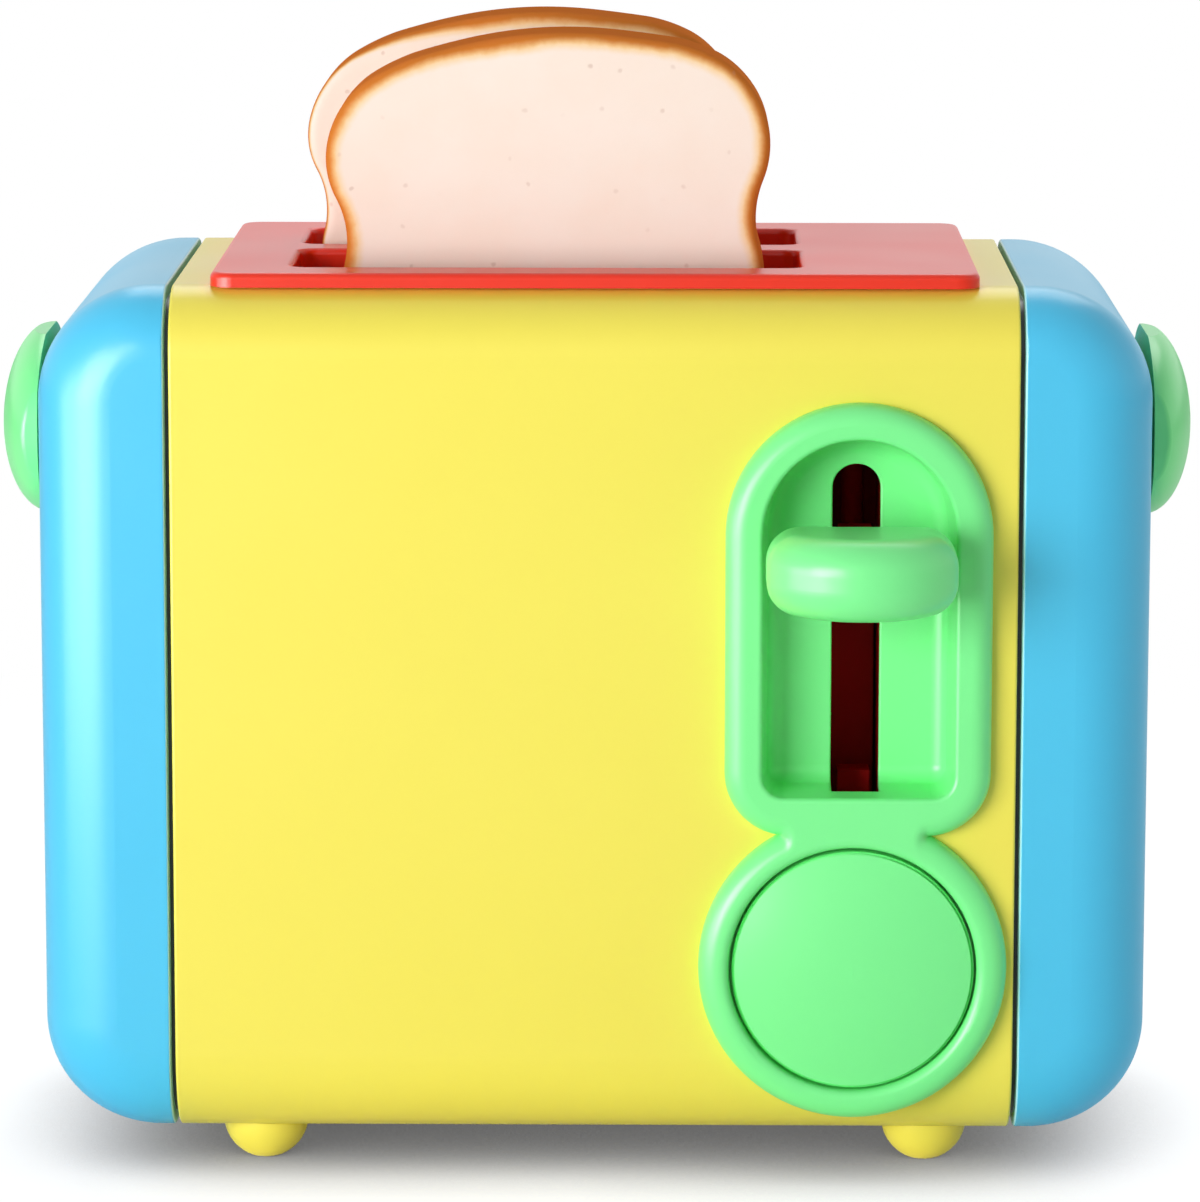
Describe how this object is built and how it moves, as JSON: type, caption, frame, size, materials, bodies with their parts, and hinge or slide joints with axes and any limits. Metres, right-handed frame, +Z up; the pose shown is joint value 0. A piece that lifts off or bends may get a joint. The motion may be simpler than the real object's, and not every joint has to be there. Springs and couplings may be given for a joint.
{
  "type": "toy toaster",
  "caption": "Soft-cornered toy pop-up toaster with lever, release button, sprung bread carriage and lift-out bread slices.",
  "frame": {"origin": "on the floor, under the middle of the toaster's overall box, lever knob included; the middle of the case lies 15.5 mm behind it", "axes": "+X to the viewer's right along the length of the toaster, +Y from the lever's side to the back, +Z up"},
  "size_m": [0.2194, 0.131, 0.2075],
  "materials": {
    "yellow_plastic": "glossy moulded ABS, fine orange peel",
    "blue_plastic": "glossy moulded ABS",
    "green_plastic": "glossy moulded ABS",
    "red_plastic": "glossy moulded ABS",
    "bread_plastic": "cream moulding with an airbrushed brown crust",
    "steel": "drawn bright steel",
    "spring_steel": "spring wire",
    "screw_steel": "zinc-plated steel"
  },
  "bodies": {
    "case": {"front_shell": "yellow_plastic", "back_shell": "yellow_plastic", "left_end_cap": "blue_plastic", "right_end_cap": "blue_plastic", "side_handle_left": "green_plastic", "side_handle_right": "green_plastic", "foot_front_left": "yellow_plastic", "foot_front_right": "yellow_plastic", "foot_back_left": "yellow_plastic", "foot_back_right": "yellow_plastic", "top_plate": "red_plastic", "bread_well": "red_plastic", "control_panel": "green_plastic", "carriage_frame": "red_plastic", "guide_rod": "red_plastic", "latch_pin": "steel", "lift_spring": "spring_steel", "button_spring": "spring_steel", "latch_spring": "spring_steel", "shell_screws": "screw_steel", "cap_screws_left": "screw_steel", "cap_screws_right": "screw_steel", "handle_screws_left": "screw_steel", "handle_screws_right": "screw_steel", "plate_screws": "screw_steel", "panel_screws": "screw_steel", "frame_screws": "screw_steel"},
    "carriage": {"bread_carriage": "red_plastic", "lever_knob": "green_plastic"},
    "front_bread": {"toast_front": "bread_plastic"},
    "back_bread": {"toast_back": "bread_plastic"},
    "button": {"release_button": "green_plastic"},
    "latch": {"latch_lever": "red_plastic"}
  },
  "joints": [
    {"name": "carriage_slide", "type": "slide", "parent": "case", "child": "carriage", "axis": [0, 0, 1], "range_m": [-0.032, 0], "stiffness_N_per_m": 120, "springref_m": 0.035, "deforming": ["lift_spring"]},
    {"name": "toast_front_lift", "type": "slide", "parent": "carriage", "child": "front_bread", "axis": [0, 0, 1], "range_m": [0, 0.095]},
    {"name": "toast_back_lift", "type": "slide", "parent": "carriage", "child": "back_bread", "axis": [0, 0, 1], "range_m": [0, 0.095]},
    {"name": "button_press", "type": "slide", "parent": "case", "child": "button", "axis": [0, 1, 0], "range_m": [0, 0.004], "stiffness_N_per_m": 300, "springref_m": -0.003, "deforming": ["button_spring"]},
    {"name": "latch_turn", "type": "hinge", "parent": "case", "child": "latch", "pos_m": [0.047, -0.01315, 0.056], "axis": [1, 0, 0], "range_deg": [0, 15], "deforming": ["latch_spring"]}
  ],
  "couplings": [
    {"joint": "latch_turn", "follows": "button_press", "rad_per_m": 64}
  ]
}
